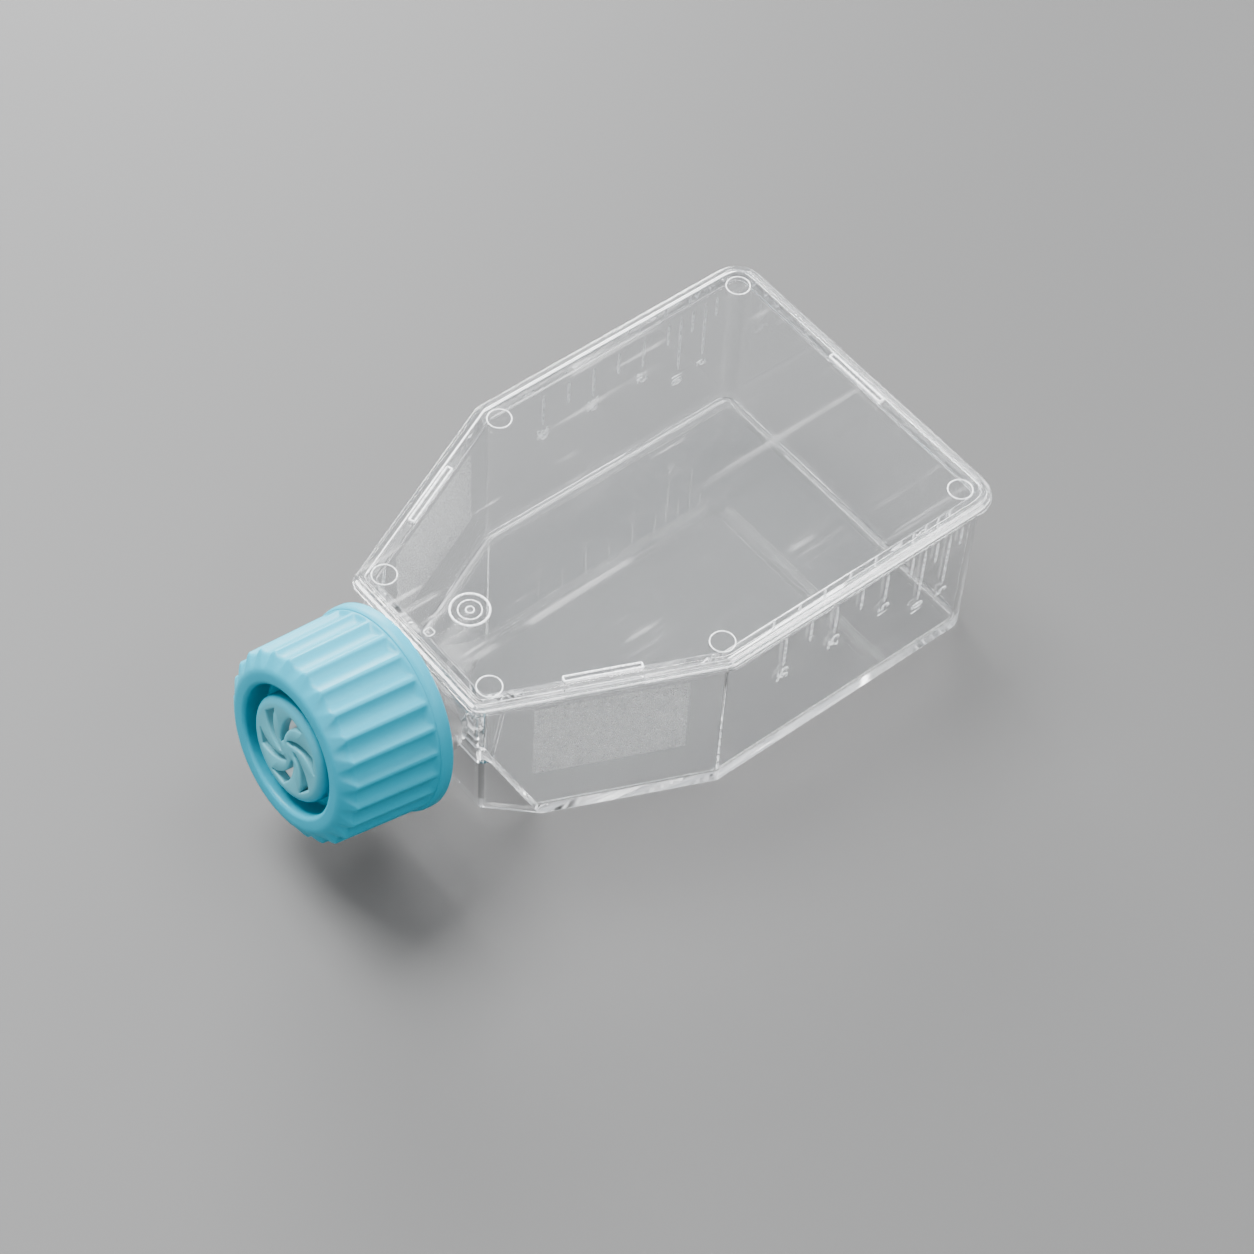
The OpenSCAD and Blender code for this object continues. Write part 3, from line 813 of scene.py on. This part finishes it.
def make_plate():
    """Top plate with its rim bead and welding lip, stacking bars and moulding marks."""
    plate = to_object(loft(
        [(-1.6, 24.45)] + quarter(-1.55, 24.65, 0.2, -90, 0, 3)
        + [(-1.35, 24.93), (-1.3, 24.97), (0.8, 24.97)]
        + [(0.98, 25.0), (1.05, 25.08), (1.05, 25.2), (0.99, 25.3), (0.86, 25.36), (0.62, 25.38)]
        + [(0.54, 25.42), (0.5, 25.5), (0.5, 25.72)] + quarter(0.32, 25.72, 0.18, 0, 90, 4)
        + quarter(-0.12, 25.76, 0.14, 90, 180, 4)
        + [(-0.27, 25.65), (-0.33, 25.58), (-0.45, PLATE_TOP)]), "lid_plate")
    one_finish(plate, PLATE_FINISH)

    end, side, cut = BAR_LEN / 2 - 0.21, BAR_W / 2 - 0.215, 0.09  # outline on top of each bar
    rim = [(-end + cut, -side), (end - cut, -side), (end, -side + cut), (end, side - cut),
           (end - cut, side), (-end + cut, side), (-end, side - cut), (-end, -side + cut)]
    edges = []
    mid_x = SHOULDER_X - SHOULDER / 2 + BAR_IN * math.sin(SLANT)
    mid_y = (HALF_W + HALF_FRONT) / 2 - BAR_IN * math.cos(SLANT)
    for x, y, turn in ((mid_x, mid_y, SLANT), (mid_x, -mid_y, -SLANT), (HALF_LEN - BAR_IN, 0, math.pi / 2)):
        place = Matrix.Translation((x, y, 0)) @ Matrix.Rotation(turn, 4, "Z")
        solid = rounded_bar(BAR_LEN, BAR_W, 25.2, BAR_TOP, 0.16)
        solid.transform(place)
        stack_bar = to_object(solid, "bar")
        stack_bar.data.materials.append(PLATE_FINISH)
        combine(plate, stack_bar, "UNION")
        edges.append(([(place @ Vector((u, v, 0))).xy[:] for u, v in rim], True))
    soften(plate, 0)

    rings = [circle_line(x, s * y, 1.55) for x, y in ((-32.1, 10.3), (-6.3, 21.6), (31.9, 21.2))
             for s in (1, -1)]
    square = ([(-33.5, -0.1), (-33.3, -0.3), (-32.6, -0.3), (-32.4, -0.1), (-32.4, 0.6), (-32.6, 0.8),
               (-33.3, 0.8), (-33.5, 0.6)], True)
    dash = ([(-33.05, 0.05 + 0.1 * k) for k in range(5)], False)
    for lines, z, width, height in ((rings, PLATE_TOP, 0.17, 0.11),
                                    ([circle_line(GATE_X, 0, 2.4, 56)], PLATE_TOP, 0.3, 0.18),
                                    ([circle_line(GATE_X, 0, 1.45)], PLATE_TOP, 0.18, 0.12),
                                    ([circle_line(GATE_X, 0, 0.5, 24)], PLATE_TOP, 0.2, 0.14),
                                    ([square, dash], PLATE_TOP, 0.14, 0.1),
                                    (edges, BAR_TOP - 0.02, 0.3, 0.16)):
        marks = grow(LINES, "plate marks", drawing(lines), {"Width": width, "Height": height}, MARK_FINISH)
        marks.data.transform(Matrix.Translation((0, 0, z)))
        combine(plate, marks, "UNION")
    return plate


# ---------------------------------------------------------------- the cap
GRIPS, GRIP_TURN = 25, math.radians(1.9)
FLANGE_TOP, GRIP_TOP = 1.7, 13.25
GRIP_BACK_R, GRIP_FRONT_R = 12.75, 12.25
FLUTE_R, FLUTE_DEPTH = 2.3, 0.5
NOSE_R = FLUTE_R + 0.1
GRIP_TILT = 0.0439  # lean of the flutes along the grip
NOSE_TILT = math.radians(47)  # how far they lean inward on the chamfer
NOSE_Z = 12.0  # where the chamfer starts to shape them
RING_SOFT = 1.6  # radius between the chamfer and the flat front ring
SLOTS, SLOT_TURN = 6, math.radians(47)
RUN_OUT_Z = 3.4  # below it the flutes run out into the flange
HALF_GRIP = math.pi / GRIPS


def smooth_min(a, b, soft):
    """Lesser of two numbers, blended where they differ by less than soft."""
    h = max(soft - abs(a - b), 0) / soft
    return min(a, b) - h * h * soft / 4


def crest(z):
    """Radius over the ridges: the grip, then the front chamfer, then its turn into the face."""
    grip = GRIP_BACK_R - (z - FLANGE_TOP) * (GRIP_BACK_R - GRIP_FRONT_R) / (GRIP_TOP - FLANGE_TOP)
    chamfer = GRIP_FRONT_R - (z - GRIP_TOP) * (GRIP_FRONT_R - FACE_R) / (CAP_LEN - GRIP_TOP)
    r = smooth_min(grip, chamfer, 0.3)
    bend = math.atan2(CAP_LEN - GRIP_TOP, GRIP_FRONT_R - FACE_R)
    if z > CAP_LEN - RING_SOFT * (1 - math.cos(bend)):
        rise = min(z - (CAP_LEN - RING_SOFT), RING_SOFT)
        r = FACE_R - RING_SOFT * math.tan(bend / 2) + math.sqrt(RING_SOFT ** 2 - rise ** 2)
    return r


def hollow(angle, floor, radius, tilt):
    """Near side of a round cutter that leans by tilt and reaches in to floor."""
    a, b = radius / math.cos(tilt), radius
    hub = floor + a
    p = math.cos(angle) ** 2 / a ** 2 + math.sin(angle) ** 2 / b ** 2
    q = hub * math.cos(angle) / a ** 2
    under = q * q - p * (hub * hub / a ** 2 - 1)
    return (q - math.sqrt(under)) / p if under > 0 else 99.0


def nose_floor(z):
    """Radius of the bottom of the flutes on the chamfer."""
    return GRIP_FRONT_R - FLUTE_DEPTH - (z - GRIP_TOP) * math.tan(NOSE_TILT)


def grip_radius(angle, z):
    """Outside of the cap at z, at an angle from the middle of a flute."""
    floor = crest(min(z, NOSE_Z)) - FLUTE_DEPTH - max(z - NOSE_Z, 0) * GRIP_TILT
    cut = hollow(angle, floor, FLUTE_R, GRIP_TILT)
    if z > NOSE_Z:
        cut = smooth_min(cut, hollow(angle, nose_floor(z), NOSE_R, NOSE_TILT), 0.3)
    if z < RUN_OUT_Z:
        cut = -smooth_min(-cut, z - 1.5 - FLANGE_R, 0.4)
    return smooth_min(crest(z), cut, 0.15)


def ridge_angle(z):
    """Angle from a flute's middle to the edge of its ridge."""
    z = min(max(z, 1.9), 14.2)
    low, high = 0.0, HALF_GRIP - 0.004
    for _ in range(30):
        mid = (low + high) / 2
        if z > GRIP_TOP:
            cut = hollow(mid, nose_floor(z), NOSE_R, NOSE_TILT)
        else:
            cut = hollow(mid, crest(min(z, NOSE_Z)) - FLUTE_DEPTH, FLUTE_R, GRIP_TILT)
        low, high = (mid, high) if cut < crest(z) else (low, mid)
    return low


def cap_columns(z):
    """Angles round the cap, closest together at the edges of the ridges."""
    edge = ridge_angle(z)
    part = [edge * t for t in (0.0, 0.22, 0.44, 0.64, 0.8, 0.91, 0.975)]
    part += [edge + (HALF_GRIP - edge) * t for t in (0.06, 0.3, 0.65)]
    angles = part + [HALF_GRIP] + [2 * HALF_GRIP - a for a in reversed(part[1:])]
    return [a + 2 * HALF_GRIP * (i + 0.5) + GRIP_TURN for i in range(GRIPS) for a in angles]


def cap_rows():
    """Section of the cap as (r, z), from the flange's foot round to the inside; None is the grip."""
    rows = [(SKIN_R + 0.2, 0), (FLANGE_R - 0.18, 0), (FLANGE_R - 0.08, 0.04), (FLANGE_R - 0.02, 0.1),
            (FLANGE_R, 0.2), (FLANGE_R, 0.9), (FLANGE_R - 0.01, 1.1), (FLANGE_R - 0.06, 1.3),
            (FLANGE_R - 0.17, 1.55), (FLANGE_R - 0.22, 1.63)]
    heights = [1.68, 1.72, 1.77, 1.82, 1.87, 1.92, 1.98, 2.05, 2.12, 2.2, 2.28, 2.36, 2.44, 2.52, 2.6,
               2.7, 2.85, 3.2, 4, 5.5, 7, 8.5, 10, 11.2, 11.8, 12.2, 12.5]
    heights += [12.7 + 0.08 * k for k in range(24)] + [14.58, 14.62, 14.64, CAP_LEN]
    rows += [(None, z) for z in heights]
    low = CAP_LEN - GROOVE_DEPTH
    rows += quarter(GROOVE_R + 0.55, CAP_LEN - 0.55, 0.55, 90, 180, 8)
    rows += quarter(GROOVE_R - 0.3, low + 0.3, 0.3, 0, -90, 4)
    rows += quarter(DISC_R + 0.3, low + 0.3, 0.3, -90, -180, 4)
    rows += quarter(DISC_R - 1.1, DISC_TOP - 1.1, 1.1, 0, 90, 9)
    rows += [(5.5, DISC_TOP), (1.2, DISC_TOP), (0, DISC_TOP)]
    plug = [(6.0, SEAT_Z), (6.0, 10.35), (6.15, 10.2), (PLUG_R - 0.15, 10.2), (PLUG_R, 10.35),
            (PLUG_R, SEAT_Z - 0.2), (PLUG_R + 0.2, SEAT_Z)]
    skin = [(SKIN_R - 0.3, SEAT_Z), (SKIN_R, SEAT_Z - 0.3), (SKIN_R, 6.0), (SKIN_R, 0.2)]
    return rows, [(0, 13.2), (5.8, 13.2)] + plug + skin


def cap_ring(bm, r, z, columns):
    """Points of one turn of the cap: one on the axis, a circle, or the fluted grip."""
    if r == 0:
        return [bm.verts.new((0, 0, z))]
    ring = []
    for angle in columns:
        local = math.remainder(angle - GRIP_TURN - HALF_GRIP, 2 * HALF_GRIP)
        radius = grip_radius(abs(local), z) if r is None else r
        ring.append(bm.verts.new((radius * math.cos(angle), radius * math.sin(angle), z)))
    return ring


def make_cap():
    """Cap with its fluted grip, flange, groove, sealing plug and slotted vent disc."""
    outside, inside = cap_rows()
    bm = bmesh.new()
    rings = [cap_ring(bm, r, z, cap_columns(z)) for r, z in outside]
    rings += [cap_ring(bm, r, z, cap_columns(0)) for r, z in inside]
    count = len(rings[0])
    for lo, hi in zip(rings, rings[1:] + rings[:1]):
        for k in range(count):
            j = (k + 1) % count
            if len(lo) == 1 and len(hi) == 1:
                break
            if len(lo) == 1:
                bm.faces.new((lo[0], hi[j], hi[k]))
            elif len(hi) == 1:
                bm.faces.new((lo[k], lo[j], hi[0]))
            else:
                bm.faces.new((lo[k], lo[j], hi[j], hi[k]))
    bmesh.ops.recalc_face_normals(bm, faces=bm.faces)
    cap = to_object(bm, "cap_body")

    for k in range(SLOTS):
        combine(cap, slot_cutter(SLOT_TURN + 2 * math.pi * k / SLOTS), "DIFFERENCE")
    bm = bmesh.new()
    bm.from_mesh(cap.data)
    bmesh.ops.remove_doubles(bm, verts=bm.verts, dist=WELD)
    bm.to_mesh(cap.data)
    bm.free()
    return cap


def slot_cutter(turn):
    """Crescent cutter that flares near the top of the disc, so it leaves rounded lips."""
    line = slot_outline()
    count = len(line)
    area = sum(a.x * b.y - b.x * a.y for a, b in zip(line, line[1:] + line[:1]))
    normals = []
    for k in range(count):
        run = (line[(k + 1) % count] - line[k - 1]).normalized()
        normals.append(Vector((run.y, -run.x)) * (1 if area > 0 else -1))
    bm = bmesh.new()
    rings = []
    for z, grow_by in ((12.5, 0), (14.1, 0), (14.2, 0.02), (14.28, 0.05), (14.34, 0.09),
                       (14.38, 0.14), (14.41, 0.2), (15.2, 0.3)):
        ring = []
        for p, n in zip(line, normals):
            q = Matrix.Rotation(turn, 2) @ (p + n * grow_by)
            ring.append(bm.verts.new((q.x, q.y, z)))
        rings.append(ring)
    for lo, hi in zip(rings, rings[1:]):
        for k in range(count):
            j = (k + 1) % count
            bm.faces.new((lo[k], lo[j], hi[j], hi[k]))
    bm.faces.new(list(reversed(rings[0])))
    bm.faces.new(rings[-1])
    bmesh.ops.triangulate(bm, faces=[f for f in bm.faces if len(f.verts) > 4])
    bmesh.ops.recalc_face_normals(bm, faces=bm.faces)
    return to_object(bm, "slot cutter")


def on_disc(p):
    """Whether a slot may reach this point of the vent disc."""
    return p.x > 0.6 and 1.35 < p.length < 5.3


def slot_outline():
    """Crescent between two arcs, narrow near the middle of the disc and widest at its rim end."""
    hub, inner_hub = Vector((-1.1, -3.8)), Vector((-1.54, -2.93))
    outer_r, inner_r = 4.95, 4.05
    outer, inner = [], []
    for k in range(400):
        a = math.pi * (0.75 - k / 400)
        p = hub + outer_r * Vector((math.cos(a), math.sin(a)))
        q = inner_hub + inner_r * Vector((math.cos(a), math.sin(a)))
        if on_disc(p) and (p - inner_hub).length > inner_r:
            outer.append(p)
        if on_disc(q) and (q - hub).length < outer_r:
            inner.append(q)
    return outer[::6] + [outer[-1]] + [inner[-1]] + inner[-2::-6][:-1] + [inner[0]]


# ---------------------------------------------------------------- camera, light and floor
CAMERA_PLACE = (-0.16718, -0.18497, 0.32703)  # metres
CAMERA_TURN = [math.radians(v) for v in (-41.728, 52.631, 3.764)]  # azimuth, elevation, roll
CAMERA_LENS = 92.54


def stage():
    """Pale floor, soft lamps and the camera."""
    bm = bmesh.new()
    bmesh.ops.create_grid(bm, x_segments=1, y_segments=1, size=3.0)
    for v in bm.verts:
        v.co.z = -0.00005
    floor = to_object(bm, "floor")
    mat, nt, out, coords, bsdf = start_material("pale paper")
    tone = ramp(nt, noise(nt, coords, 3.0, 3.0), 0.3, 0.7)
    link(nt, two_tone(nt, tone, (0.048, 0.048, 0.0478), (0.053, 0.053, 0.0528)), bsdf.inputs["Base Color"])
    bsdf.inputs["Roughness"].default_value = 0.55
    bsdf.inputs["Specular IOR Level"].default_value = 0.2
    link(nt, bsdf.outputs[0], out.inputs["Surface"])
    floor.data.materials.append(mat)

    world = bpy.data.worlds.new("studio")
    bpy.context.scene.world = world
    world.use_nodes = True
    world.node_tree.nodes["Background"].inputs["Color"].default_value = (0.55, 0.57, 0.6, 1)
    world.node_tree.nodes["Background"].inputs["Strength"].default_value = 1.9

    def lamp(name, place, target, size, power):
        data = bpy.data.lights.new(name, "AREA")
        data.shape, data.size, data.size_y = "RECTANGLE", size[0], size[1]
        data.energy = power
        obj = bpy.data.objects.new(name, data)
        bpy.context.scene.collection.objects.link(obj)
        obj.location = place
        obj.rotation_euler = (Vector(target) - Vector(place)).to_track_quat("-Z", "Y").to_euler()

    lamp("key softbox", (-0.05, 0.46, 0.75), (0, 0, 0), (0.46, 0.4), 37)
    lamp("top softbox", (0.36, -0.10, 0.80), (0.05, 0, 0), (0.36, 0.3), 7)
    lamp("left softbox", (0.32, 0.70, 0.27), (0.03, 0, 0), (0.45, 0.35), 23)
    lamp("right strip", (0.16, -0.54, 0.58), (0, 0, 0), (0.5, 0.035), 3)
    lamp("back strip", (0.62, 0.05, 0.22), (0.02, 0, 0), (0.5, 0.08), 5)
    lamp("side softbox", (-0.72, -0.22, 0.30), (-0.03, 0, 0.01), (0.35, 0.35), 3)

    # light turns around inside the clear walls many times before it leaves them
    paths = bpy.context.scene.cycles
    paths.glossy_bounces = paths.transmission_bounces = paths.max_bounces = 48

    data = bpy.data.cameras.new("camera")
    data.sensor_width, data.lens = 36.0, CAMERA_LENS
    data.clip_start, data.clip_end = 0.01, 20
    cam = bpy.data.objects.new("camera", data)
    bpy.context.scene.collection.objects.link(cam)
    az, el, roll = CAMERA_TURN
    back = Vector((math.sin(az) * math.cos(el), -math.cos(az) * math.cos(el), math.sin(el)))
    flat = Vector((0, 0, 1)).cross(back).normalized()
    lift = back.cross(flat)
    right = math.cos(roll) * flat + math.sin(roll) * lift
    up = -math.sin(roll) * flat + math.cos(roll) * lift
    turn = Matrix((right, up, back)).transposed().to_4x4()
    cam.matrix_world = Matrix.Translation(CAMERA_PLACE) @ turn
    bpy.context.scene.camera = cam


stage()

tub = finish_mesh(make_tub())
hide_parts("flask_body")
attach(tub, "flask")

plate = finish_mesh(make_plate())
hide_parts("top_plate")
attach(plate, "flask")

cap = make_cap()
thread = grow(THREAD, "cap thread", bmesh.new(),
              {"Turns": 2.0, "Lead": THREAD_LEAD, "Radius": 10.9, "Start": 2.1, "Width": 1.5,
               "Depth": 0.61}, CAP_FINISH)
add_mesh(cap, thread)
cap.data.transform(NECK)
finish_mesh(cap)
one_finish(cap, CAP_FINISH)
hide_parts("cap")
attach(cap, "cap")

film = to_object(turned([(0, 12.95), (5.65, 12.95), (5.7, 13.0), (5.7, 13.1), (5.65, 13.15), (0, 13.15)],
                        matrix=NECK), "vent_film")
finish_mesh(film)
film.data.materials.append(SHADED_FILM_FINISH)
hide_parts("vent_membrane")
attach(film, "carrier")
